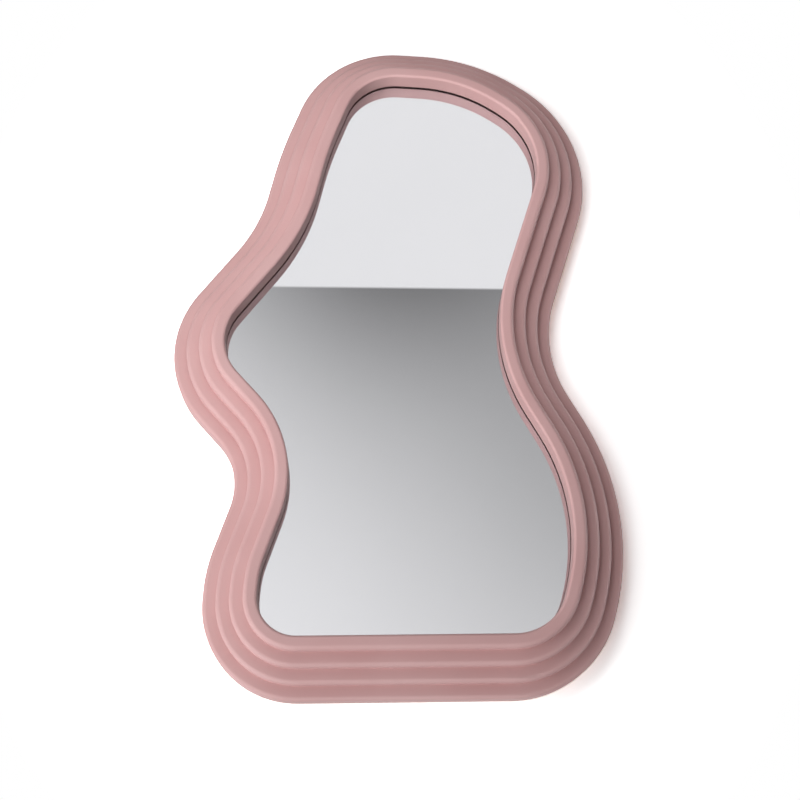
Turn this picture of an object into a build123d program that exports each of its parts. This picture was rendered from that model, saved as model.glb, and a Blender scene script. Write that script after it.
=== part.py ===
from build123d import *
from math import atan2, cos, degrees, radians, tan
import os

# A wall mirror in a wavy frame of four stepped rings, each board lying on the next.
# The wall is the plane y = 0, the front faces -Y, and +Z is up.
# The origin is on the wall, midway between the two wall hooks, at the level where they bear.
# Each height in front below is a distance from the wall, and each inset a distance in from the outline.

# Overall sizes of the outline
width = 500.0
height = 790.0

# The outline is a twelve-sided loop whose corners are rounded into one flowing line.
# Corners run anticlockwise from the lower right, seen from the front.
# X shares are of the width, from its middle, and Z shares are of the height, from the bottom edge.
corner_x_shares = [0.418, 0.546, 0.337, 0.523, 0.209, -0.151, -0.263, -0.311, -0.572, -0.334, -0.413, -0.432]
corner_z_shares = [0.0, 0.259, 0.499, 0.852, 0.993, 1.007, 0.825, 0.700, 0.490, 0.320, 0.180, 0.0]
# Each bend starts and ends this share of its shorter side away from its corner.
bend_shares = [0.41, 0.57, 0.29, 0.62, 0.36, 0.58, 0.33, 0.42, 0.56, 0.38, 0.21, 0.77]

# Where the wall hooks are, as shares of the width and the height
left_hook_x_share = -0.243
right_hook_x_share = 0.381
hook_level_share = 0.76

# Boards of the frame, and the steps between them
base_board = 22.0
step_board = 15.0
step_width = 15.5
ridge_width = 15.0
step_round = 5.0
ridge_inner_round = 3.0
back_edge_chamfer = 1.0

# The base ring is glued up from lengths of board, cut square at three levels.
# Two joints lie this far beyond the ends of the hanger pockets, and one is a share of the height up.
pocket_end_wall = 10.0
low_joint_share = 0.215

# Glass and what lies behind it, in the rebate of the third layer
lip_lap = 7.0
glass_thickness = 4.0
glass_seam = 0.4
film_thickness = 0.2
foam_thickness = 0.8
board_thickness = 3.0
glass_edge_gap = 1.0
foam_edge_inset = 4.0
board_edge_gap = 0.8
setting_block_length = 25.0
shelf_width = 11.5

# Turn-buttons and their screws
button_width = 9.0
button_reach = 15.0
button_thickness = 1.2
button_gap = 0.1
button_edge_round = 0.3
button_screw_radius = 1.5
button_bore_gap = 0.08
button_head_radius = 3.0
button_head_height = 1.8
button_screw_bite = 10.0

# Screws that clamp the three lower boards, and dowels under the ridge
frame_screw_radius = 2.0
frame_screw_length = 44.0
frame_head_radius = 4.0
frame_head_sink = 0.4
dowel_radius = 3.0
dowel_bite = 10.0
dowel_end_gap = 0.5
dowel_side_wall = 0.6
dowel_chamfer = 0.6
hole_gap = 0.05

# Hangers: a folded strap that holds a D-ring, in a pocket behind the base board
pocket_depth = 6.0
pocket_width = 20.0
pocket_above = 16.5
pocket_below = 26.0
pocket_corner = 4.0
wire_radius = 1.25
dring_bar = 15.0
dring_reach = 13.5
dring_corner = 2.2
dring_bow = 7.0
dring_gap = 0.05
dring_rest_tilt = 7.0
strap_thickness = 1.0
strap_width = 10.0
strap_length = 24.0
strap_corner = 2.5
strap_near_screw = 6.0
strap_far_screw = 18.5
strap_screw_radius = 1.5
strap_head_radius = 3.0
strap_head_height = 1.8
strap_screw_bite = 10.0

# Cross recess and dome of the screw heads
cross_width = 0.7
cross_length = 3.4
cross_depth = 1.0
head_dome = 1.2

# Rubber pads against the wall
bumper_radius = 6.0
bumper_thickness = 3.0
bumper_round = 0.8
bumper_inset = 14.0

# One overrun serves all cuts.
overrun = 1.0

# Heights in front of the wall, worked out from the boards
base_back = bumper_thickness
base_front = base_back + base_board
shelf = base_front + step_board
third_front = shelf + step_board
ridge_front = third_front + step_board
foam_back = shelf + board_thickness
film_back = foam_back + foam_thickness
glass_back = film_back + film_thickness
glass_front = glass_back + glass_thickness
pocket_floor = base_back + pocket_depth
strap_loop_radius = wire_radius + dring_gap + strap_thickness
pin_height = pocket_floor - strap_loop_radius
strap_back = pocket_floor - 2 * strap_thickness

# Insets from the outline, worked out from the steps
second_inset = step_width
third_inset = 2 * step_width
ridge_inset = 3 * step_width
mouth_inset = ridge_inset + ridge_width
rebate_inset = mouth_inset - lip_lap
glass_inset = rebate_inset + glass_edge_gap
foam_inset = glass_inset + foam_edge_inset
board_inset = rebate_inset + board_edge_gap
shelf_inset = rebate_inset - shelf_width
frame_screw_inset = (third_inset + shelf_inset) / 2
dowel_inset = rebate_inset - dowel_side_wall - dowel_radius
button_inset = shelf_inset + shelf_width / 2

# Corners of the outline in the front view
hook_middle = width * (left_hook_x_share + right_hook_x_share) / 2
left_hook = width * left_hook_x_share - hook_middle
right_hook = width * right_hook_x_share - hook_middle
corners = [
    Vector(width * x_share - hook_middle, height * (z_share - hook_level_share))
    for x_share, z_share in zip(corner_x_shares, corner_z_shares)
]
count = len(corners)
# The pin of a ring lies below the hook level by the ring's inside reach.
pin_level = wire_radius - dring_reach

# Sides that carry the turn-buttons, and where on each side's straight stretch
button_side_indices = [11, 11, 1, 2, 4, 5, 7, 9]
button_shares = [0.22, 0.78, 0.5, 0.5, 0.5, 0.5, 0.5, 0.5]
# The bottom side, where on it the setting blocks are, and the bends that carry the bumpers
bottom_side_index = 11
setting_block_shares = [0.08, 0.92]
bumper_bend_indices = [0, 11, 3, 5]

os.makedirs("parts", exist_ok=True)


def side(i):
    """The vector along side i, from corner i to the next."""
    return corners[(i + 1) % count] - corners[i % count]


def turn(i):
    """The angle in degrees by which the outline turns at corner i, positive to the left."""
    before = side(i - 1)
    after = side(i)
    return degrees(atan2(before.cross(after).Z, before.dot(after)))


def bend_length(i):
    """How far from corner i its bend begins and ends."""
    return bend_shares[i % count] * min(side(i - 1).length, side(i).length)


def bend_radius(i):
    """The radius that rounds corner i over that length."""
    return bend_length(i) / tan(radians(abs(turn(i)) / 2))


def inward(i):
    """The direction from corner i that halves the angle, towards the glass."""
    return side(i - 1).normalized().rotate(Axis.Z, 90 + turn(i) / 2)


def loop(inset):
    """Corners and radii of the outline moved inwards by an inset."""
    points = []
    radii = []
    for i in range(count):
        points.append(corners[i] + inward(i) * (inset / cos(radians(turn(i) / 2))))
        radii.append(bend_radius(i) - inset if turn(i) > 0 else bend_radius(i) + inset)
    return points, radii


def on_side(i, share, inset):
    """A point at a share of side i's straight stretch, moved inwards by an inset."""
    along = side(i).normalized()
    straight = side(i).length - bend_length(i) - bend_length(i + 1)
    return corners[i % count] + along * (bend_length(i) + share * straight) + along.rotate(Axis.Z, 90) * inset


def on_bend(i, inset):
    """The point at the middle of bend i, moved inwards by an inset."""
    cut = bend_radius(i) / cos(radians(turn(i) / 2)) - bend_radius(i)
    return corners[i] + inward(i) * (inset + (cut if turn(i) > 0 else -cut))


def side_angle(i):
    """The direction of side i in degrees, anticlockwise from +X in the front view."""
    return degrees(atan2(side(i).Y, side(i).X))


def upright(height_in_front):
    """The upright plane at a height in front of the wall, facing the viewer."""
    return Plane.XZ.offset(height_in_front)


def from_behind(point, height_in_front):
    """The place of a screw that goes in from behind, its axis from the wall to the viewer."""
    return Location((point.X, -height_in_front, point.Y), (-90, 0, 0))


def outline(inset):
    """The flat outline, moved inwards by an inset."""
    points, radii = loop(inset)
    with BuildSketch() as made:
        with BuildLine():
            FilletPolyline(*points, radius=radii, close=True)
        make_face()
    return made.sketch


def band(ring, low, high):
    """The lengths of a ring that lie between two levels, from left to right."""
    with BuildPart() as made:
        add(ring)
        with BuildSketch(Plane.XY.offset(low)):
            Rectangle(2 * width, 2 * width)
        extrude(amount=high - low, mode=Mode.INTERSECT)
    return made.part.solids().sort_by(Axis.X)


def cross_recess(top):
    """The cross that a screwdriver takes, cut down from a screw's top."""
    with BuildPart() as made:
        with BuildSketch(Plane.XY.offset(top - cross_depth)):
            Rectangle(cross_length, cross_width)
            Rectangle(cross_width, cross_length)
        extrude(amount=cross_depth + overrun)
    return made.part


def screw(shank_radius, length, head_radius, head_height):
    """A wood screw along -Z with a domed head, which bears at z = 0."""
    recess = cross_recess(head_height)
    with BuildPart() as made:
        with BuildSketch(Plane.XZ):
            with BuildLine():
                Polyline(
                    (0, head_height),
                    (head_radius, head_height),
                    (head_radius, 0),
                    (shank_radius, 0),
                    (shank_radius, shank_radius - length),
                    (0, -length),
                    close=True,
                )
            make_face()
        revolve(axis=Axis.Z)
        fillet(made.faces().sort_by(Axis.Z)[-1].edges(), radius=head_dome)
        add(recess, mode=Mode.SUBTRACT)
    return made.part


def countersunk_screw(shank_radius, length, head_radius):
    """A wood screw along -Z with a right-angled countersunk head, which ends at z = 0."""
    recess = cross_recess(0)
    with BuildPart() as made:
        with BuildSketch(Plane.XZ):
            with BuildLine():
                Polyline(
                    (0, 0),
                    (head_radius, 0),
                    (shank_radius, shank_radius - head_radius),
                    (shank_radius, shank_radius - length),
                    (0, -length),
                    close=True,
                )
            make_face()
        revolve(axis=Axis.Z)
        add(recess, mode=Mode.SUBTRACT)
    return made.part


def front_face(made):
    """The foremost face of a part, which looks at the viewer."""
    return made.faces().sort_by(Axis.Y)[0]


def back_face(made):
    """The rearmost face of a part, which looks at the wall."""
    return made.faces().sort_by(Axis.Y)[-1]


# Flat outlines that the layers and the sheets are cut to
base_outline = outline(0)
second_outline = outline(second_inset)
third_outline = outline(third_inset)
ridge_outline = outline(ridge_inset)
mouth_outline = outline(mouth_inset)
shelf_outline = outline(shelf_inset)
rebate_outline = outline(rebate_inset)
board_outline = outline(board_inset)
glass_outline = outline(glass_inset)
film_outline = outline(glass_inset + glass_seam)
foam_outline = outline(foam_inset)

# Points that the screws, dowels and bumpers are set at
frame_screw_points = [on_bend(i, frame_screw_inset) for i in range(count)]
dowel_points = [on_bend(i, dowel_inset) for i in range(count)]
bumper_points = [on_bend(i, bumper_inset) for i in bumper_bend_indices]
button_points = [on_side(i, share, button_inset) for i, share in zip(button_side_indices, button_shares)]
pin_points = [Vector(left_hook, pin_level), Vector(right_hook, pin_level)]
strap_screws_down = [strap_near_screw, strap_far_screw]
strap_screw_points = [pin - Vector(0, down) for pin in pin_points for down in strap_screws_down]

# Base ring: the widest board, with a pocket behind it for each hanger
countersink = frame_head_radius + frame_head_sink + hole_gap
with BuildPart() as base_ring:
    with BuildSketch(upright(base_back)):
        add(base_outline)
        add(shelf_outline, mode=Mode.SUBTRACT)
    extrude(amount=base_board)
    fillet(front_face(base_ring).outer_wire().edges(), radius=step_round)
    chamfer(back_face(base_ring).outer_wire().edges(), length=back_edge_chamfer)
    with BuildSketch(upright(base_back)):
        with Locations(*[pin + Vector(0, (pocket_above - pocket_below) / 2) for pin in pin_points]):
            RectangleRounded(pocket_width, pocket_above + pocket_below, pocket_corner)
    extrude(amount=pocket_depth, mode=Mode.SUBTRACT)
    with BuildSketch(upright(base_back)):
        with Locations(*frame_screw_points):
            Circle(frame_screw_radius + hole_gap)
    extrude(amount=base_board, mode=Mode.SUBTRACT)
    with BuildSketch(upright(base_back)):
        with Locations(*frame_screw_points):
            Circle(countersink)
    extrude(amount=countersink - frame_screw_radius, taper=45, mode=Mode.SUBTRACT)
    with BuildSketch(upright(pocket_floor)):
        with Locations(*strap_screw_points):
            Circle(strap_screw_radius + hole_gap)
    extrude(amount=strap_screw_bite, mode=Mode.SUBTRACT)

# The six lengths of the base ring, of which the two short ones carry the hangers
above_pockets = pin_level + pocket_above + pocket_end_wall
below_pockets = pin_level - pocket_below - pocket_end_wall
low_joint = height * (low_joint_share - hook_level_share)
hanger_lengths = band(base_ring.part, below_pockets, above_pockets)
side_lengths = band(base_ring.part, low_joint, below_pockets)
base_lengths = {
    "base_top": band(base_ring.part, above_pockets, height)[0],
    "base_left_hanger_block": hanger_lengths[0],
    "base_right_hanger_block": hanger_lengths[1],
    "base_left_side": side_lengths[0],
    "base_right_side": side_lengths[1],
    "base_bottom": band(base_ring.part, -height, low_joint)[0],
}
for name, length in base_lengths.items():
    with BuildPart() as base_length:
        add(length)
    base_length.part.label = name
    export_step(base_length.part, f"parts/{name}.step")

# Second layer: a ring one step in, which the long screws pass through
with BuildPart() as second_layer:
    with BuildSketch(upright(base_front)):
        add(second_outline)
        add(shelf_outline, mode=Mode.SUBTRACT)
        with Locations(*frame_screw_points):
            Circle(frame_screw_radius + hole_gap, mode=Mode.SUBTRACT)
    extrude(amount=step_board)
    fillet(front_face(second_layer).outer_wire().edges(), radius=step_round)
second_layer.part.label = "second_layer"
export_step(second_layer.part, "parts/second_layer.step")

# Third layer: its lip holds the glass from in front, in a rebate that opens behind
frame_screw_tip = base_back + frame_head_sink + frame_screw_length
with BuildPart() as third_layer:
    with BuildSketch(upright(shelf)):
        add(third_outline)
        add(mouth_outline, mode=Mode.SUBTRACT)
    extrude(amount=step_board)
    fillet(front_face(third_layer).outer_wire().edges(), radius=step_round)
    with BuildSketch(upright(shelf)):
        add(rebate_outline)
    extrude(amount=glass_front - shelf, mode=Mode.SUBTRACT)
    with BuildSketch(upright(shelf)):
        with Locations(*frame_screw_points):
            Circle(frame_screw_radius + hole_gap)
    extrude(amount=frame_screw_tip + hole_gap - shelf, mode=Mode.SUBTRACT)
    with BuildSketch(upright(shelf)):
        with Locations(*button_points):
            Circle(button_screw_radius + hole_gap)
    extrude(amount=button_screw_bite + hole_gap, mode=Mode.SUBTRACT)
    with BuildSketch(upright(third_front)):
        with Locations(*dowel_points):
            Circle(dowel_radius + hole_gap)
    extrude(amount=-dowel_bite - dowel_end_gap, mode=Mode.SUBTRACT)
third_layer.part.label = "third_layer"
export_step(third_layer.part, "parts/third_layer.step")

# Ridge layer: the foremost ring, rounded on both sides
with BuildPart() as ridge_layer:
    with BuildSketch(upright(third_front)):
        add(ridge_outline)
        add(mouth_outline, mode=Mode.SUBTRACT)
    extrude(amount=step_board)
    fillet(front_face(ridge_layer).outer_wire().edges(), radius=step_round)
    fillet(front_face(ridge_layer).inner_wires()[0].edges(), radius=ridge_inner_round)
    with BuildSketch(upright(third_front)):
        with Locations(*dowel_points):
            Circle(dowel_radius + hole_gap)
    extrude(amount=dowel_bite + dowel_end_gap, mode=Mode.SUBTRACT)
ridge_layer.part.label = "ridge_layer"
export_step(ridge_layer.part, "parts/ridge_layer.step")

# Dowels that place the ridge on the third layer
with BuildPart() as ridge_dowels:
    with BuildSketch(upright(third_front)):
        with Locations(*dowel_points):
            Circle(dowel_radius)
    extrude(amount=dowel_bite, both=True)
    chamfer(ridge_dowels.edges().filter_by(GeomType.CIRCLE), length=dowel_chamfer)
ridge_dowels.part.label = "ridge_dowels"
export_step(ridge_dowels.part, "parts/ridge_dowels.step")

# Long screws that clamp the three lower boards from behind
one_frame_screw = countersunk_screw(frame_screw_radius, frame_screw_length, frame_head_radius)
with BuildPart() as frame_screws:
    with Locations(*[from_behind(point, base_back + frame_head_sink) for point in frame_screw_points]):
        add(one_frame_screw)
frame_screws.part.label = "frame_screws"
export_step(frame_screws.part, "parts/frame_screws.step")

# Glass, with its edges seamed
with BuildPart() as mirror_glass:
    with BuildSketch(upright(glass_back)):
        add(glass_outline)
    extrude(amount=glass_thickness)
    chamfer(front_face(mirror_glass).edges(), length=glass_seam)
    chamfer(back_face(mirror_glass).edges(), length=glass_seam)
mirror_glass.part.label = "mirror_glass"
export_step(mirror_glass.part, "parts/mirror_glass.step")

# Silver coat on its safety film, which stops short of the seamed edge
with BuildPart() as silvered_film:
    with BuildSketch(upright(film_back)):
        add(film_outline)
    extrude(amount=film_thickness)
silvered_film.part.label = "silvered_film"
export_step(silvered_film.part, "parts/silvered_film.step")

# Setting blocks: two strips of hard rubber that the glass stands on
setting_inset = (rebate_inset + glass_inset) / 2
with BuildPart() as setting_blocks:
    with BuildSketch(upright(glass_back)):
        with Locations(*[on_side(bottom_side_index, share, setting_inset) for share in setting_block_shares]):
            Rectangle(setting_block_length, glass_edge_gap)
    extrude(amount=glass_thickness)
setting_blocks.part.label = "setting_blocks"
export_step(setting_blocks.part, "parts/setting_blocks.step")

# Foam sheet that presses the glass against the lip
with BuildPart() as foam_sheet:
    with BuildSketch(upright(foam_back)):
        add(foam_outline)
    extrude(amount=foam_thickness)
foam_sheet.part.label = "foam_sheet"
export_step(foam_sheet.part, "parts/foam_sheet.step")

# Back board, flush with the shelf that the turn-buttons lie on
with BuildPart() as back_board:
    with BuildSketch(upright(shelf)):
        add(board_outline)
    extrude(amount=board_thickness)
back_board.part.label = "back_board"
export_step(back_board.part, "parts/back_board.step")

# Turn-buttons, each with its long end over the back board
button_front = shelf - button_gap
button_back = button_front - button_thickness
for number, (i, point) in enumerate(zip(button_side_indices, button_points), start=1):
    pointing_in = Location((point.X, point.Y), side_angle(i) + 90)
    with BuildPart() as turn_button:
        with BuildSketch(upright(button_back)):
            with Locations(pointing_in * Location(((button_reach - button_width / 2) / 2, 0))):
                SlotOverall(button_reach + button_width / 2, button_width)
            with Locations(pointing_in):
                Circle(button_screw_radius + button_bore_gap, mode=Mode.SUBTRACT)
        extrude(amount=button_thickness)
        fillet(back_face(turn_button).outer_wire().edges(), radius=button_edge_round)
    turn_button.part.label = f"turn_button_{number}"
    export_step(turn_button.part, f"parts/turn_button_{number}.step")

# Screws that the turn-buttons turn on, their heads just clear of them
button_head_seat = button_back - button_gap
button_screw_length = shelf + button_screw_bite - button_head_seat
one_button_screw = screw(button_screw_radius, button_screw_length, button_head_radius, button_head_height)
with BuildPart() as turn_button_screws:
    with Locations(*[from_behind(point, button_head_seat) for point in button_points]):
        add(one_button_screw)
turn_button_screws.part.label = "turn_button_screws"
export_step(turn_button_screws.part, "parts/turn_button_screws.step")

# Hangers: each strap is folded round the straight bar of its ring
for name, pin in zip(("left", "right"), pin_points):
    with BuildPart() as hanger_strap:
        with BuildSketch(Plane.YZ.offset(pin.X)):
            with Locations((-pin_height, pin.Y)):
                Circle(strap_loop_radius)
            with Locations((-(strap_back + pocket_floor) / 2, pin.Y - strap_length / 2)):
                Rectangle(2 * strap_thickness, strap_length)
            with Locations((-pin_height, pin.Y)):
                Circle(wire_radius + dring_gap, mode=Mode.SUBTRACT)
        extrude(amount=strap_width / 2, both=True)
        fillet(hanger_strap.edges().filter_by(Axis.Y).group_by(Axis.Z)[0], radius=strap_corner)
        with BuildSketch(upright(strap_back)):
            with Locations(*[pin - Vector(0, down) for down in strap_screws_down]):
                Circle(strap_screw_radius + hole_gap)
        extrude(amount=2 * strap_thickness, mode=Mode.SUBTRACT)
    hanger_strap.part.label = f"{name}_hanger_strap"
    export_step(hanger_strap.part, f"parts/{name}_hanger_strap.step")

    # The ring hangs down, tilted just clear of the strap; its straight bar lies along X.
    bar_frame = Plane((pin.X, -pin_height, pin.Y), x_dir=(1, 0, 0), z_dir=(0, -1, 0))
    with BuildPart() as hanger_ring:
        with BuildLine(bar_frame.rotated((dring_rest_tilt, 0, 0))) as wire:
            FilletPolyline(
                (-dring_bar / 2, 0),
                (dring_bar / 2, 0),
                (dring_bar / 2, -dring_reach),
                (-dring_bar / 2, -dring_reach),
                radius=[dring_corner, dring_corner, dring_bow, dring_bow],
                close=True,
            )
        with BuildSketch(Plane(origin=wire.wire() @ 0, z_dir=wire.wire() % 0)):
            Circle(wire_radius)
        sweep(path=wire.wire())
    hanger_ring.part.label = f"{name}_hanger_ring"
    export_step(hanger_ring.part, f"parts/{name}_hanger_ring.step")

# Screws of the two straps
strap_screw_length = 2 * strap_thickness + strap_screw_bite
one_strap_screw = screw(strap_screw_radius, strap_screw_length, strap_head_radius, strap_head_height)
with BuildPart() as hanger_screws:
    with Locations(*[from_behind(point, strap_back) for point in strap_screw_points]):
        add(one_strap_screw)
hanger_screws.part.label = "hanger_screws"
export_step(hanger_screws.part, "parts/hanger_screws.step")

# Rubber bumpers between the base layer and the wall
with BuildPart() as wall_bumpers:
    with BuildSketch(upright(0)):
        with Locations(*bumper_points):
            Circle(bumper_radius)
    extrude(amount=bumper_thickness)
    fillet(wall_bumpers.edges().group_by(Axis.Y)[-1], radius=bumper_round)
wall_bumpers.part.label = "wall_bumpers"
export_step(wall_bumpers.part, "parts/wall_bumpers.step")
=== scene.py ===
# %% [markdown]
# # A wavy wall mirror
#
# This lesson dresses a wall mirror that is already built as solids. The frame is four boards of MDF, cut to
# one wavy outline and stepped forward like the layers of a map, with a sheet of mirror glass behind them.
# The solids carry the true shapes and sizes, so most of the work here is finish, light and reflection.
#
# The wall is the plane y = 0, the front faces -Y, +Z is up, and everything is in metres.

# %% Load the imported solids
import math

import bpy
import numpy as np
from mathutils import Matrix, Vector


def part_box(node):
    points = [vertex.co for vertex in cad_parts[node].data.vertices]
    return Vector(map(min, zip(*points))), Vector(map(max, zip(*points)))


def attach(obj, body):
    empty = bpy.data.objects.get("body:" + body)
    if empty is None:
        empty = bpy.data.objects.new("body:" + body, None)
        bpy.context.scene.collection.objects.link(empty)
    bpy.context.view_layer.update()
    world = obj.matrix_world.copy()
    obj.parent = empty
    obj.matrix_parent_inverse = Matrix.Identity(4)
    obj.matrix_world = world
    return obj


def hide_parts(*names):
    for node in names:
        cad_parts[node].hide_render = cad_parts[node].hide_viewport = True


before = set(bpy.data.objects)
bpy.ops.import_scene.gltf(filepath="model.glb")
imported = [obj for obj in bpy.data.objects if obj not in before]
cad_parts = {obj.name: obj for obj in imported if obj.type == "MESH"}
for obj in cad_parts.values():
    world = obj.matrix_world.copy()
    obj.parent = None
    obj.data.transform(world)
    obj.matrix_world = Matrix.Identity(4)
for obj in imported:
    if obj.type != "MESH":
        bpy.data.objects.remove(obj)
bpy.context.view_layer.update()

# %% [markdown]
# ## Helpers for every finish
#
# A finish is a small tree of nodes. Blender has a kind of node for noise, one for waves, one for mixing and
# so on, and each could have a function here. One function that adds any kind is shorter, and it keeps
# Blender's own names in sight, so that each tree can be found again in the shader editor.
#
# Colours are written as sRGB hex codes, as a paint chart gives them, but Blender reckons in linear light.

# %% Colours and nodes
MM = 0.001


def linear(hex_colour):
    """sRGB hex to linear RGBA: c / 12.92 up to 0.04045, and ((c + 0.055) / 1.055) ^ 2.4 above."""
    values = [int(hex_colour[i:i + 2], 16) / 255 for i in (1, 3, 5)]
    return (*[c / 12.92 if c <= 0.04045 else ((c + 0.055) / 1.055) ** 2.4 for c in values], 1.0)


def add_node(tree, kind, inputs=None, **settings):
    """Adds one node and returns its first output in use, or None if it has no output.

    inputs maps a socket's name or number to a plain value, a hex colour or another node's output.
    A name means the socket of that name that the node's settings leave in use.
    """
    node = tree.nodes.new("ShaderNode" + kind)
    for name, value in settings.items():
        setattr(node, name, value)
    for name, value in (inputs or {}).items():
        socket = node.inputs[name]
        if isinstance(name, str):
            socket = next(s for s in node.inputs if s.enabled and s.name == name)
        if isinstance(value, bpy.types.NodeSocket):
            tree.links.new(value, socket)
        else:
            socket.default_value = linear(value) if isinstance(value, str) else value
    return next((socket for socket in node.outputs if socket.enabled), None)


print("Mid grey #808080 in linear light:", round(linear("#808080")[0], 3))

# %% Materials and their places


def new_material(name):
    """A node material with nothing in it, and its Object coordinates."""
    material = bpy.data.materials.new(name)
    material.use_nodes = True
    tree = material.node_tree
    tree.nodes.clear()
    place = tree.nodes.new("ShaderNodeTexCoord").outputs["Object"]
    return material, tree, place


def dress(names, material):
    """Gives each of these CAD nodes one material."""
    for name in names:
        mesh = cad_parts[name].data
        mesh.materials.clear()
        mesh.materials.append(material)
    print(material.name, "on", len(names), "CAD node(s)")


# Noise lies mostly between these two values, so a pattern is stretched from there to its full range.
NOISE_RANGE = {"From Min": 0.3, "From Max": 0.7}

# %% [markdown]
# ## Satin paint on MDF
#
# The frame is sprayed with a two-pack satin paint over sealed MDF. That gives the eye one even dusty pink
# with soft, wide highlights. A close look finds three more things: long waves from sanding, a faint orange
# peel from the spray, and a slight drift of tone where two passes of the gun meet.
#
# A flat pink would do for the colour, but the highlights would then be too clean. So the peel and the
# sanding are two bumps, one on top of the other, and the roughness drifts a little as well.
#
# The photograph doesn't show the back, so its finish is a guess: bare board with a mist of overspray on
# the faces against the wall. A mask made from the face's direction and its depth tells the two apart.

# %% Mask for the bare back
# Faces in front of the first depth are painted all over, and those behind the second may be bare.
PAINTED_DEPTH, BARE_DEPTH = -46.0 * MM, -42.0 * MM


def facing_wall(tree, place):
    """1 on faces that look at the wall and lie behind the glass, and 0 on the rest."""
    normal = tree.nodes.new("ShaderNodeTexCoord").outputs["Normal"]
    along = add_node(tree, "SeparateXYZ", {0: normal}).node.outputs["Y"]
    depth = add_node(tree, "SeparateXYZ", {0: place}).node.outputs["Y"]
    looking = add_node(tree, "MapRange", {"Value": along, "From Min": 0.80, "From Max": 0.95})
    behind = add_node(tree, "MapRange", {"Value": depth, "From Min": PAINTED_DEPTH, "From Max": BARE_DEPTH})
    return add_node(tree, "Math", {0: looking, 1: behind}, operation="MULTIPLY")


# %% Bare board with a mist of paint
BOARD_FIBRE = 1.1 * MM
MIST_PATCH = 14.0 * MM


def misted_board(tree, place):
    """Colour of raw MDF, its fibres three times as long as wide, under mist that hides up to 0.35 of it."""
    lengthwise = add_node(tree, "Mapping", {"Vector": place, "Scale": (1 / 3, 1, 1)})
    fibres = add_node(tree, "TexNoise", {"Vector": lengthwise, "Scale": 1 / BOARD_FIBRE, "Detail": 6.0})
    share = add_node(tree, "MapRange", {"Value": fibres, **NOISE_RANGE})
    board = add_node(tree, "Mix", {"Factor": share, "A": "#A5805A", "B": "#C0A07A"}, data_type="RGBA")
    mist = add_node(tree, "TexNoise", {"Vector": place, "Scale": 1 / MIST_PATCH, "Detail": 6.0})
    cover = add_node(tree, "MapRange", {"Value": mist, "From Min": 0.45, "From Max": 0.75, "To Max": 0.35})
    return add_node(tree, "Mix", {"Factor": cover, "A": board, "B": "#D2A8A7"}, data_type="RGBA")


# %% The paint
SPRAY_PASS = 70.0 * MM
SANDING_WAVE, SANDING_DEPTH = 30.0 * MM, 0.06 * MM
PEEL_DIMPLE, PEEL_DEPTH = 2.2 * MM, 0.012 * MM
GLOSS_DRIFT = 16.0 * MM
BOARD_ROUGHNESS = 0.9


def satin_paint():
    """Satin two-pack paint on sealed MDF, with raw board left on the faces that lie against the wall."""
    material, tree, place = new_material("satin_frame_paint")
    bare = facing_wall(tree, place)
    passes = add_node(tree, "TexNoise", {"Vector": place, "Scale": 1 / SPRAY_PASS, "Detail": 1.0})
    share = add_node(tree, "MapRange", {"Value": passes, **NOISE_RANGE})
    pink = add_node(tree, "Mix", {"Factor": share, "A": "#D0A5A4", "B": "#D4ABAA"}, data_type="RGBA")
    board = misted_board(tree, place)
    colour = add_node(tree, "Mix", {"Factor": bare, "A": pink, "B": board}, data_type="RGBA")
    waves = add_node(tree, "TexNoise", {"Vector": place, "Scale": 1 / SANDING_WAVE, "Detail": 1.0})
    sanded = add_node(tree, "Bump", {"Height": waves, "Distance": SANDING_DEPTH})
    dimples = add_node(tree, "TexNoise", {"Vector": place, "Scale": 1 / PEEL_DIMPLE})
    peel = add_node(tree, "Bump", {"Height": dimples, "Distance": PEEL_DEPTH, "Normal": sanded})
    drift = add_node(tree, "TexNoise", {"Vector": place, "Scale": 1 / GLOSS_DRIFT})
    satin = add_node(tree, "MapRange", {"Value": drift, **NOISE_RANGE, "To Min": 0.44, "To Max": 0.52})
    rough = add_node(tree, "Mix", {"Factor": bare, "A": satin, "B": BOARD_ROUGHNESS})
    shader = add_node(tree, "BsdfPrincipled", {"Base Color": colour, "Roughness": rough, "Normal": peel})
    add_node(tree, "OutputMaterial", {"Surface": shader})
    return material


BASE_LENGTHS = (
    "base_top", "base_left_hanger_block", "base_right_hanger_block",
    "base_left_side", "base_right_side", "base_bottom")
dress((*BASE_LENGTHS, "second_layer", "third_layer", "ridge_layer"), satin_paint())

# %% [markdown]
# ## Float glass
#
# The glass is 4 mm float glass. Its two faces are as smooth as the molten tin that it floated on, and its
# edge is ground, with the sharp corners taken off, so that it doesn't cut or chip. That leaves clear faces
# and a matt grey seam.
#
# The whole sheet is one solid, so one material does both. Its faces look along Y and the seam doesn't, so
# the roughness is worked out from the face's direction.

# %% Glass
SEAM_ROUGHNESS = 0.45


def float_glass():
    """Clear float glass: polished faces, and an edge whose sharp corners are ground off to a grey seam."""
    material, tree, _ = new_material("float_glass")
    normal = tree.nodes.new("ShaderNodeTexCoord").outputs["Normal"]
    along = add_node(tree, "SeparateXYZ", {0: normal}).node.outputs["Y"]
    flat = add_node(tree, "Math", {0: along}, operation="ABSOLUTE")
    rough = add_node(tree, "MapRange", {
        "Value": flat, "From Min": 0.90, "From Max": 0.99, "To Min": SEAM_ROUGHNESS, "To Max": 0.0})
    shader = add_node(tree, "BsdfPrincipled", {
        "Base Color": "#FDFEFE", "Roughness": rough, "IOR": 1.52, "Transmission Weight": 1.0})
    add_node(tree, "OutputMaterial", {"Surface": shader})
    return material


dress(("mirror_glass",), float_glass())
glass_low, glass_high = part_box("mirror_glass")
print("Glass thickness in mm:", round((glass_high.y - glass_low.y) / MM, 2))

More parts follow.
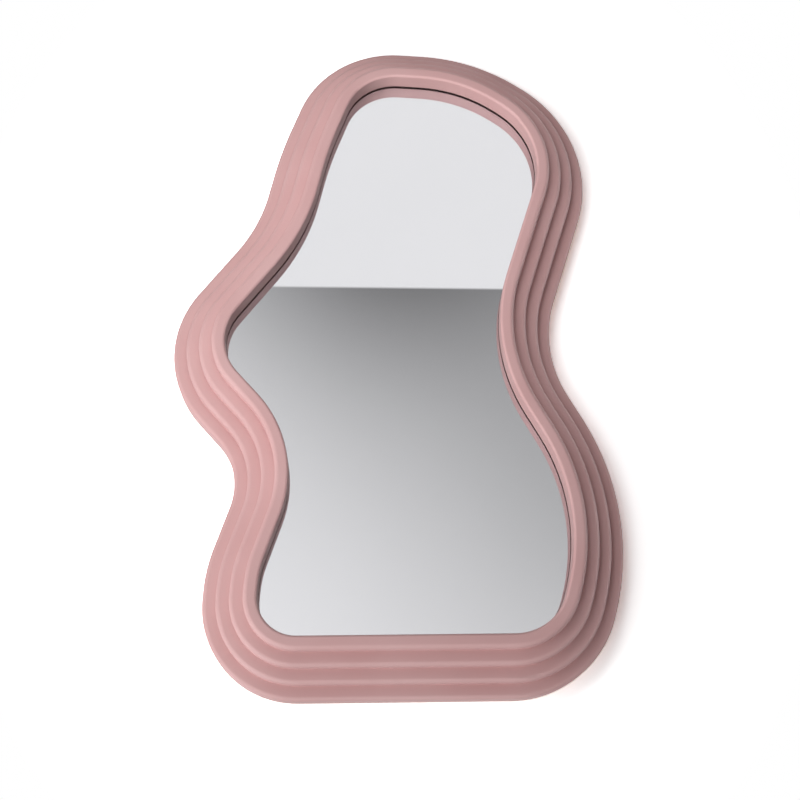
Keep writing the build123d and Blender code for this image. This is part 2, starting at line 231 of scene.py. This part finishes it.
# %% [markdown]
# ## Silver and its safety film
#
# A mirror's silver is laid on the back of the glass from a bath, under a micron thick. It takes its
# smoothness from the glass, so it gives the eye a clean reflection and has no texture of its own. A white
# polyethylene film is glued on behind it, and holds the pieces if the glass breaks. From behind it gives
# the eye a soft white with a faint grid of threads, once the back board and the foam are out.
#
# The frame already has this sheet as a solid, but its front lies exactly on the back of the glass. A ray
# of light can't tell two surfaces in one place apart, and the mirror renders black. The solid can't be
# moved, so a new piece takes its place, worked out from it with the front set back by a hair.

# %% Silver
SILVER_CLOUD = 120.0 * MM


def silver():
    """Wet-deposited silver: a metal with no roughness, whose white drifts by a shade over the sheet."""
    material, tree, place = new_material("silver_coat")
    cloud = add_node(tree, "TexNoise", {"Vector": place, "Scale": 1 / SILVER_CLOUD, "Detail": 1.0})
    share = add_node(tree, "MapRange", {"Value": cloud, **NOISE_RANGE})
    white = add_node(tree, "Mix", {"Factor": share, "A": "#F5F3F6", "B": "#F4F2F5"}, data_type="RGBA")
    shader = add_node(tree, "BsdfPrincipled", {"Base Color": white, "Roughness": 0.0, "Metallic": 1.0})
    add_node(tree, "OutputMaterial", {"Surface": shader})
    return material


# %% Safety film
# The real threads are about 0.9 mm apart, too fine to show, so they are drawn at twice that.
THREAD_SPACING, THREAD_DEPTH = 1.8 * MM, 0.03 * MM


def wave_scale(spacing):
    """Scale that puts a wave texture's crests this far apart: it repeats every 2 pi / (20 * scale)."""
    return 2 * math.pi / (20 * spacing)


def safety_film():
    """White polyethylene film with a fine crossed weave: two sets of ripples, each a bump."""
    material, tree, place = new_material("safety_film")
    ripple = {"Vector": place, "Scale": wave_scale(THREAD_SPACING), "Distortion": 0.4}
    threads = add_node(tree, "TexWave", ripple, bands_direction="X").node.outputs["Fac"]
    across = add_node(tree, "TexWave", ripple, bands_direction="Z").node.outputs["Fac"]
    weave = add_node(tree, "Bump", {"Height": threads, "Distance": THREAD_DEPTH})
    weave = add_node(tree, "Bump", {"Height": across, "Distance": THREAD_DEPTH, "Normal": weave})
    white = add_node(tree, "Mix", {"Factor": threads, "A": "#E6E8E6", "B": "#DADDDB"}, data_type="RGBA")
    shader = add_node(tree, "BsdfPrincipled", {"Base Color": white, "Roughness": 0.55, "Normal": weave})
    add_node(tree, "OutputMaterial", {"Surface": shader})
    return material


# %% The silvered sheet
SILVER_GAP = 0.02 * MM


def mesh_object(name, points, faces, materials, material_indices):
    """A new object at the origin, made from an array of points, an array of faces and one index a face."""
    mesh = bpy.data.meshes.new(name)
    mesh.from_pydata(points.tolist(), [], faces.tolist())
    for material in materials:
        mesh.materials.append(material)
    mesh.polygons.foreach_set("material_index", material_indices)
    made = bpy.data.objects.new(name, mesh)
    bpy.context.scene.collection.objects.link(made)
    return made


def silvered_sheet(solid):
    """The film's own solid with its front set back: y becomes the larger of y and the front's y + the gap.

    The frame gives loose triangles, so points in one place are first merged into one. A triangle is silver
    if all its corners lie on the front, and film if any of them lies behind it.
    """
    places = np.empty(3 * len(solid.vertices), dtype=np.float32)
    solid.vertices.foreach_get("co", places)
    corners = np.empty(len(solid.loops), dtype=np.int32)
    solid.loops.foreach_get("vertex_index", corners)
    points, merged = np.unique(places.reshape(-1, 3), axis=0, return_inverse=True)
    triangles = merged.reshape(-1)[corners].reshape(-1, 3)
    set_back = points[:, 1].min() + SILVER_GAP
    is_film = (points[triangles, 1] > set_back).any(axis=1).astype(np.int32)
    points[:, 1] = np.maximum(points[:, 1], set_back)
    print("Silvered sheet:", len(points), "points and", len(triangles), "triangles")
    return mesh_object("silver_coat", points, triangles, [silver(), safety_film()], is_film)


film = silvered_sheet(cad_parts["silvered_film"].data)
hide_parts("silvered_film")
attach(film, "frame")

# %% [markdown]
# ## Hardboard
#
# The back board is hardboard: wood fibres pressed hot on a wire screen, which leaves its small square mesh
# on the rough face. The eye gets a warm brown with darker blotches, pale loose fibres and that mesh.
#
# The mesh could be modelled, but it is a tenth of a millimetre deep. Two sets of ripples multiplied
# together make a square field of dents, and a bump shades them.

# %% Back board
# The real screen is about 1.5 mm, too fine to show from behind, so it is drawn coarser.
SCREEN_SPACING, SCREEN_DEPTH = 4.0 * MM, 0.12 * MM
FIBRE_WIDTH, FIBRE_DEPTH = 1.6 * MM, 0.05 * MM
BLOTCH = 28.0 * MM


def hardboard_colour(tree, place, fibres):
    """Brown blotches, with pale fibres lying over them."""
    blotches = add_node(tree, "TexNoise", {"Vector": place, "Scale": 1 / BLOTCH, "Detail": 3.0})
    share = add_node(tree, "MapRange", {"Value": blotches, **NOISE_RANGE})
    ground = add_node(tree, "Mix", {"Factor": share, "A": "#6E4B2F", "B": "#80593A"}, data_type="RGBA")
    pale = add_node(tree, "MapRange", {"Value": fibres, "From Min": 0.45, "From Max": 0.75, "To Max": 0.7})
    return add_node(tree, "Mix", {"Factor": pale, "A": ground, "B": "#A27C55"}, data_type="RGBA")


def hardboard():
    """Hardboard's rough face, with fibres twice as long as they are wide."""
    material, tree, place = new_material("hardboard")
    lengthwise = add_node(tree, "Mapping", {"Vector": place, "Scale": (1 / 2, 1, 1)})
    fibres = add_node(tree, "TexNoise", {"Vector": lengthwise, "Scale": 1 / FIBRE_WIDTH, "Detail": 8.0})
    ripple = {"Vector": place, "Scale": wave_scale(SCREEN_SPACING), "Distortion": 0.5}
    across = add_node(tree, "TexWave", ripple, bands_direction="X").node.outputs["Fac"]
    upward = add_node(tree, "TexWave", ripple, bands_direction="Z").node.outputs["Fac"]
    screen = add_node(tree, "Math", {0: across, 1: upward}, operation="MULTIPLY")
    loose = add_node(tree, "Bump", {"Height": fibres, "Distance": FIBRE_DEPTH})
    dents = add_node(tree, "Bump", {"Height": screen, "Distance": SCREEN_DEPTH, "Normal": loose})
    rough = add_node(tree, "MapRange", {"Value": fibres, **NOISE_RANGE, "To Min": 0.62, "To Max": 0.82})
    colour = hardboard_colour(tree, place, fibres)
    shader = add_node(tree, "BsdfPrincipled", {"Base Color": colour, "Roughness": rough, "Normal": dents})
    add_node(tree, "OutputMaterial", {"Surface": shader})
    return material


dress(("back_board",), hardboard())

# %% [markdown]
# ## Zinc plate and nickel
#
# The straps, turn-buttons and screws are steel with bright zinc, a cool grey. The hanger rings are drawn
# wire with nickel, a little warmer and smoother. Plating is only microns thick, so the marks of the
# rolling mill or the drawing die still show through it as fine lines.
#
# Both are the same idea with other numbers, so one function makes them. The lines are noise stretched
# far along one axis, and they drive the roughness as well as a very shallow bump.

# %% Plated steel
PLATING_CLOUD = 5.0 * MM
MARK_DEPTH = 0.006 * MM


def plated_steel(name, light, dark, mark_width, lengthening, roughness):
    """Plated steel, with marks this wide that each axis lengthens, and the least and most roughness."""
    material, tree, place = new_material(name)
    shortened = [1 / times for times in lengthening]
    drawn_out = add_node(tree, "Mapping", {"Vector": place, "Scale": shortened})
    marks = add_node(tree, "TexNoise", {"Vector": drawn_out, "Scale": 1 / mark_width, "Detail": 3.0})
    cloud = add_node(tree, "TexNoise", {"Vector": place, "Scale": 1 / PLATING_CLOUD, "Detail": 2.0})
    share = add_node(tree, "MapRange", {"Value": cloud, **NOISE_RANGE})
    colour = add_node(tree, "Mix", {"Factor": share, "A": light, "B": dark}, data_type="RGBA")
    rough = add_node(tree, "MapRange", {
        "Value": marks, **NOISE_RANGE, "To Min": roughness[0], "To Max": roughness[1]})
    scored = add_node(tree, "Bump", {"Height": marks, "Distance": MARK_DEPTH})
    shader = add_node(tree, "BsdfPrincipled", {
        "Base Color": colour, "Metallic": 1.0, "Roughness": rough, "Normal": scored})
    add_node(tree, "OutputMaterial", {"Surface": shader})
    return material


# %% Zinc on the sheet parts and screws, nickel on the rings
TURN_BUTTONS = tuple(f"turn_button_{k}" for k in range(1, 9))
SCREWS = ("turn_button_screws", "frame_screws", "hanger_screws")
STRAPS = ("left_hanger_strap", "right_hanger_strap")
zinc = plated_steel(
    "zinc_plated_steel", "#C9CCD0", "#B4B8BF",
    mark_width=0.25 * MM, lengthening=(1, 1, 14), roughness=(0.24, 0.42))
nickel = plated_steel(
    "nickel_plated_wire", "#D3CDC2", "#C4BDB1",
    mark_width=0.2 * MM, lengthening=(12, 1, 1), roughness=(0.14, 0.26))
dress((*TURN_BUTTONS, *SCREWS, *STRAPS), zinc)
dress(("left_hanger_ring", "right_hanger_ring"), nickel)

# %% [markdown]
# ## Rubber, foam and dowels
#
# Four small things are seen from behind, or not at all until the mirror is taken apart. The bumpers and
# setting blocks are moulded rubber: matt, with a fine grain from the mould and a faint pale bloom. The
# foam sheet is closed-cell polyethylene, packed bubbles about a millimetre across under a thin skin. The
# dowels are beech rod, with straight pale grain along the dowel and short brown flecks.
#
# Bubbles pressed together are what Voronoi cells look like, so the foam uses those. Grain and flecks are
# noise drawn out along Y, the way that the dowels point.

# %% Rubber
RUBBER_BLOOM = 3.0 * MM
RUBBER_GRAIN_DEPTH = 0.02 * MM


def rubber(name, light, dark, grain):
    """Moulded rubber with mould grain of this size."""
    material, tree, place = new_material(name)
    bloom = add_node(tree, "TexNoise", {"Vector": place, "Scale": 1 / RUBBER_BLOOM, "Detail": 3.0})
    skin = add_node(tree, "TexNoise", {"Vector": place, "Scale": 1 / grain, "Detail": 4.0})
    share = add_node(tree, "MapRange", {"Value": bloom, **NOISE_RANGE})
    colour = add_node(tree, "Mix", {"Factor": share, "A": dark, "B": light}, data_type="RGBA")
    rough = add_node(tree, "MapRange", {"Value": skin, **NOISE_RANGE, "To Min": 0.62, "To Max": 0.80})
    grained = add_node(tree, "Bump", {"Height": skin, "Distance": RUBBER_GRAIN_DEPTH})
    shader = add_node(tree, "BsdfPrincipled", {"Base Color": colour, "Roughness": rough, "Normal": grained})
    add_node(tree, "OutputMaterial", {"Surface": shader})
    return material


dress(("wall_bumpers",), rubber("grey_bumper_rubber", "#6A6A6C", "#59595B", 0.4 * MM))
dress(("setting_blocks",), rubber("black_setting_rubber", "#262626", "#151515", 0.3 * MM))

# %% Foam
FOAM_CELL, FOAM_CELL_DEPTH = 1.1 * MM, 0.15 * MM


def foam():
    """Closed-cell foam: one bubble a Voronoi cell, pale in its middle, and a little light goes through."""
    material, tree, place = new_material("polyethylene_foam")
    cells = add_node(tree, "TexVoronoi", {"Vector": place, "Scale": 1 / FOAM_CELL})
    colour = add_node(tree, "Mix", {"Factor": cells, "A": "#F1F1EC", "B": "#DCDDD8"}, data_type="RGBA")
    bubbles = add_node(tree, "Bump", {"Height": cells, "Distance": FOAM_CELL_DEPTH})
    shader = add_node(tree, "BsdfPrincipled", {
        "Base Color": colour, "Roughness": 0.7, "Normal": bubbles,
        "Subsurface Weight": 0.15, "Subsurface Scale": 1.0 * MM})
    add_node(tree, "OutputMaterial", {"Surface": shader})
    return material


dress(("foam_sheet",), foam())

# %% Beech
GRAIN_WIDTH, GRAIN_DEPTH = 0.5 * MM, 0.03 * MM
FLECK_WIDTH = 0.35 * MM


def beech():
    """Beech rod: grain drawn out 16 times along Y, and flecks drawn out 5 times."""
    material, tree, place = new_material("beech_dowel")
    long_grain = add_node(tree, "Mapping", {"Vector": place, "Scale": (1, 1 / 16, 1)})
    grain = add_node(tree, "TexNoise", {"Vector": long_grain, "Scale": 1 / GRAIN_WIDTH, "Detail": 4.0})
    short_marks = add_node(tree, "Mapping", {"Vector": place, "Scale": (1, 1 / 5, 1)})
    flecks = add_node(tree, "TexNoise", {"Vector": short_marks, "Scale": 1 / FLECK_WIDTH, "Detail": 2.0})
    share = add_node(tree, "MapRange", {"Value": grain, **NOISE_RANGE})
    wood = add_node(tree, "Mix", {"Factor": share, "A": "#CFA678", "B": "#B98D60"}, data_type="RGBA")
    fleck = add_node(tree, "MapRange", {"Value": flecks, "From Min": 0.62, "From Max": 0.7, "To Max": 0.7})
    colour = add_node(tree, "Mix", {"Factor": fleck, "A": wood, "B": "#8A5F3C"}, data_type="RGBA")
    ridged = add_node(tree, "Bump", {"Height": grain, "Distance": GRAIN_DEPTH})
    shader = add_node(tree, "BsdfPrincipled", {"Base Color": colour, "Roughness": 0.6, "Normal": ridged})
    add_node(tree, "OutputMaterial", {"Surface": shader})
    return material


dress(("ridge_dowels",), beech())

# %% [markdown]
# ## Camera
#
# The photograph looks up at the mirror from below and a touch to the left. A camera could be nudged until
# the picture looks right, but a mirror shows every degree of error in its reflection. So the numbers below
# were solved by a separate fitting program, from the frame's edges in the photograph, and then rounded.
#
# A direction is given here by two angles. Azimuth 0 looks straight out from the wall, and elevation is up.

# %% Camera
PHOTO_SIZE = 800
FOCAL_PIXELS = 1364.0
SENSOR_WIDTH = 36.0
LOOK_AT = Vector((-26.73, -3.0, -258.84)) * MM
AZIMUTH, ELEVATION, ROLL = -2.266, -19.548, -1.005
DISTANCE = 1564.4 * MM


def direction(azimuth, elevation):
    """The unit vector (sin a cos e, -cos a cos e, sin e), for angles in degrees."""
    a, e = math.radians(azimuth), math.radians(elevation)
    return math.sin(a) * math.cos(e), -math.cos(a) * math.cos(e), math.sin(e)


def add_camera():
    """Stands the camera at a distance from the point that it looks at, and rolls it about its own axis."""
    data = bpy.data.cameras.new("camera")
    data.sensor_width = SENSOR_WIDTH
    data.lens = FOCAL_PIXELS / PHOTO_SIZE * SENSOR_WIDTH
    back = Vector(direction(AZIMUTH, ELEVATION))
    right = (-back).cross(Vector((0, 0, 1))).normalized()
    up = right.cross(-back)
    roll = math.radians(ROLL)
    turned_right = right * math.cos(roll) + up * math.sin(roll)
    turned_up = up * math.cos(roll) - right * math.sin(roll)
    pose = Matrix((turned_right, turned_up, back)).transposed().to_4x4()
    pose.translation = LOOK_AT + back * DISTANCE
    camera = bpy.data.objects.new("camera", data)
    camera.matrix_world = pose
    bpy.context.scene.collection.objects.link(camera)
    bpy.context.scene.camera = camera
    print("Camera at, in mm:", [round(c / MM) for c in pose.translation], "lens", round(data.lens, 1), "mm")


add_camera()

# %% [markdown]
# ## The wall
#
# In the photograph the wall is matt white and overexposed, with a narrow soft shadow round the frame. A
# plain white wall comes out grey here, and more light on it would also fall on the mirror. So its white
# is written brighter than white, and it blends to an even white beyond the shadow's reach.
#
# The wall would also keep all light off the back of the frame. Only the camera sees it, and it is clear
# from behind, so the back can be looked at and lit.

# %% Wall
WALL_GAIN = 2.3
WALL_HALF = 3000.0 * MM
WALL_PLACE = 0.2 * MM
# The shadow lies in an ellipse on the wall, with this middle and these half widths along X and Z.
SHADOW_MIDDLE = (-35.0 * MM, -200.5 * MM)
SHADOW_REACH = (400.0 * MM, 520.8 * MM)
BLEND_START, BLEND_END = 0.95, 1.3


def beyond_shadow(tree, place):
    """0 within the ellipse and 1 well outside it, by the length of (x / reach x, z / reach z)."""
    (x, z), (reach_x, reach_z) = SHADOW_MIDDLE, SHADOW_REACH
    scaled = add_node(tree, "Mapping", {
        "Vector": place, "Location": (-x / reach_x, 0, -z / reach_z), "Scale": (1 / reach_x, 0, 1 / reach_z)})
    away = add_node(tree, "VectorMath", {0: scaled}, operation="LENGTH")
    return add_node(tree, "MapRange", {"Value": away, "From Min": BLEND_START, "From Max": BLEND_END})


def white_wall():
    """Matt white paint, overexposed as in the photograph, and clear from behind."""
    material, tree, place = new_material("matt_white_wall")
    overexposed = (*[WALL_GAIN * c for c in linear("#F4F4F4")[:3]], 1.0)
    matt = add_node(tree, "BsdfDiffuse", {"Color": overexposed})
    even = add_node(tree, "Emission", {"Color": "#FFFFFF", "Strength": 1.0})
    front = add_node(tree, "MixShader", {0: beyond_shadow(tree, place), 1: matt, 2: even})
    from_behind = tree.nodes.new("ShaderNodeNewGeometry").outputs["Backfacing"]
    clear = add_node(tree, "BsdfTransparent")
    surface = add_node(tree, "MixShader", {0: from_behind, 1: front, 2: clear})
    add_node(tree, "OutputMaterial", {"Surface": surface})
    return material


def add_wall():
    """One square sheet just behind the bumpers, which only the camera sees."""
    across = WALL_HALF * np.array([-1, 1, 1, -1])
    upward = WALL_HALF * np.array([-1, -1, 1, 1])
    points = np.column_stack((across, np.full(4, WALL_PLACE), upward))
    wall = mesh_object("wall", points, np.array([[0, 1, 2, 3]]), [white_wall()], [0])
    wall.visible_diffuse = wall.visible_glossy = wall.visible_transmission = wall.visible_shadow = False
    print("Wall:", 2 * WALL_HALF, "m square")


add_wall()

# %% [markdown]
# ## The room and the light
#
# A mirror is only as good as what it reflects. The photograph's shows a bright ceiling with a straight
# edge, over a wall with a soft shade on it. A real room could be modelled, but it would throw its own
# light on the frame, and its corners would turn up in views from the side.
#
# So the light is a world with no room in it, painted by direction alone. A glow is bright along one
# direction and falls off evenly around it. The Light Path node gives each kind of ray its own world: rays
# that went through the glass see the room, glossy rays see a sheen, the rest see one soft glow, and the
# camera sees plain white. Behind the wall's plane they all see pale light, which lights the back.
#
# Most strengths of the glows and lamps, and the places of the shades and the ceiling's edge, were solved
# by separate fitting programs from the photograph. They were then rounded, and some were changed by eye.

# %% Glows and soft edges


def glow(tree, towards, azimuth, elevation, tightness, strength):
    """strength * exp(tightness * (c - 1)), where c is the cosine of the angle to the glow's middle."""
    middle = direction(azimuth, elevation)
    cosine = add_node(tree, "VectorMath", {0: towards, 1: middle}, operation="DOT_PRODUCT")
    power = add_node(tree, "Math", {0: cosine, 1: tightness, 2: -tightness}, operation="MULTIPLY_ADD")
    falloff = add_node(tree, "Math", {0: power}, operation="EXPONENT")
    return add_node(tree, "Math", {0: falloff, 1: strength}, operation="MULTIPLY")


def add_glows(tree, towards, level, glows):
    """An even level, with each glow of a list added to it."""
    for values in glows:
        level = add_node(tree, "Math", {0: level, 1: glow(tree, towards, *values)}, operation="ADD")
    return level


def side_of(tree, towards, normal, start, end):
    """0 to 1 as the direction's share along a normal goes from start to end."""
    share = add_node(tree, "VectorMath", {0: towards, 1: normal}, operation="DOT_PRODUCT")
    return add_node(tree, "MapRange", {"Value": share, "From Min": start, "From Max": end})


# %% The room in the mirror
# A glow or a shade is its azimuth and elevation in degrees, its tightness and its strength.
ROOM_LEVEL = 0.985
ROOM_SHADES = ((2.64, 30.3, 60.0, 1.0), (14.7, 16.5, 40.0, 0.54))
AROUND_LEVEL = 0.22
AROUND_GLOWS = (
    (0.0, -80.0, 5.0, 2.2), (0.0, -35.0, 6.0, 0.4), (-60.0, -20.0, 4.0, 0.35), (70.0, -10.0, 4.0, 0.4))
AHEAD_MIDDLE, AHEAD_EDGE = (2.3, 19.5), (0.90, 0.96)
CEILING_LEVEL = 0.92
# The ceiling's edge is straight, so it lies in a plane through the mirror, and this is the plane's normal.
CEILING_NORMAL = (0.0120, 0.4113, 0.9114)
CEILING_EDGE = (-0.0008, 0.0008)


def mirrored_room(tree, towards):
    """A shaded wall ahead, a straight ceiling edge above it, and a pale floor and studio all around."""
    level = ROOM_LEVEL
    for values in ROOM_SHADES:
        shade = glow(tree, towards, *values)
        light = add_node(tree, "Math", {0: 1.0, 1: shade}, operation="SUBTRACT")
        level = add_node(tree, "Math", {0: level, 1: light}, operation="MULTIPLY")
    around = add_glows(tree, towards, AROUND_LEVEL, AROUND_GLOWS)
    ahead = side_of(tree, towards, direction(*AHEAD_MIDDLE), *AHEAD_EDGE)
    walls = add_node(tree, "Mix", {"Factor": ahead, "A": around, "B": level})
    ceiling = side_of(tree, towards, CEILING_NORMAL, *CEILING_EDGE)
    return add_node(tree, "Mix", {"Factor": ceiling, "A": walls, "B": CEILING_LEVEL})


# %% The world
SOFT_GLOWS = ((-60.0, -45.0, 6.0, 2.99),)
SHEEN_GLOWS = ((90.0, 0.0, 6.0, 6.0), (0.0, -50.0, 6.0, 2.0))
BEHIND_LEVEL, BEHIND_GLOWS = 0.45, ((150.0, 45.0, 3.0, 1.1),)
BEHIND_NORMAL, BEHIND_EDGE = (0.0, 1.0, 0.0), (-0.02, 0.02)


def studio():
    """White to the camera, a world of its own for each other kind of ray, and pale light behind the wall."""
    world = bpy.data.worlds.new("studio")
    bpy.context.scene.world = world
    world.use_nodes = True
    tree = world.node_tree
    tree.nodes.clear()
    towards = tree.nodes.new("ShaderNodeTexCoord").outputs["Generated"]
    ray = tree.nodes.new("ShaderNodeLightPath").outputs
    soft = add_glows(tree, towards, 0.0, SOFT_GLOWS)
    sheen = add_glows(tree, towards, 0.0, SHEEN_GLOWS)
    room = mirrored_room(tree, towards)
    behind = add_glows(tree, towards, BEHIND_LEVEL, BEHIND_GLOWS)
    is_behind = side_of(tree, towards, BEHIND_NORMAL, *BEHIND_EDGE)
    lit = add_node(tree, "Mix", {"Factor": ray["Is Glossy Ray"], "A": soft, "B": sheen})
    lit = add_node(tree, "Mix", {"Factor": ray["Is Transmission Ray"], "A": lit, "B": room})
    lit = add_node(tree, "Mix", {"Factor": is_behind, "A": lit, "B": behind})
    strength = add_node(tree, "Mix", {"Factor": ray["Is Camera Ray"], "A": lit, "B": 1.0})
    shader = add_node(tree, "Background", {"Color": "#FFFFFF", "Strength": strength})
    add_node(tree, "OutputWorld", {"Surface": shader})
    print("World nodes:", len(tree.nodes))


studio()

# %% [markdown]
# ## Lamps
#
# Glows come from infinitely far away, so they light both ends of the frame alike. In the photograph the
# light changes along the frame, as it does near a lamp. Three square soft boxes do that. The camera, the
# gloss and the glass don't see them, because a hard square in the mirror would give them away.

# %% Lamps
LIT_MIDDLE = Vector((-35.0, 0.0, -200.0)) * MM
LAMP_SIZE = 500.0 * MM
LOW_LEFT_DISTANCE = 1100.0 * MM
# Each lamp's place, and its power in watts
LAMPS = {
    "low_left": (LIT_MIDDLE + LOW_LEFT_DISTANCE * Vector(direction(-60.0, -30.0)), 3.5),
    "front_low": (Vector((-200.0, -600.0, -100.0)) * MM, 1.56),
    "front_high": (Vector((50.0, -700.0, 250.0)) * MM, 1.04)}


def add_lamp(name, place, watts):
    """A square soft box turned towards the middle of the mirror."""
    data = bpy.data.lights.new(name, "AREA")
    data.energy = watts
    data.size = LAMP_SIZE
    lamp = bpy.data.objects.new(name, data)
    lamp.location = place
    lamp.rotation_mode = "QUATERNION"
    lamp.rotation_quaternion = (LIT_MIDDLE - place).to_track_quat("-Z", "Y")
    lamp.visible_camera = lamp.visible_glossy = lamp.visible_transmission = False
    bpy.context.scene.collection.objects.link(lamp)
    print("Lamp", name, "at, in mm:", [round(c / MM) for c in place], "with", watts, "W")


for lamp_name, (lamp_place, lamp_watts) in LAMPS.items():
    add_lamp(lamp_name, lamp_place, lamp_watts)

# %% [markdown]
# ## The view, and the end
#
# The Standard view shows a colour about as it is written.

# %% The view, and the end
bpy.context.scene.view_settings.view_transform = "Standard"
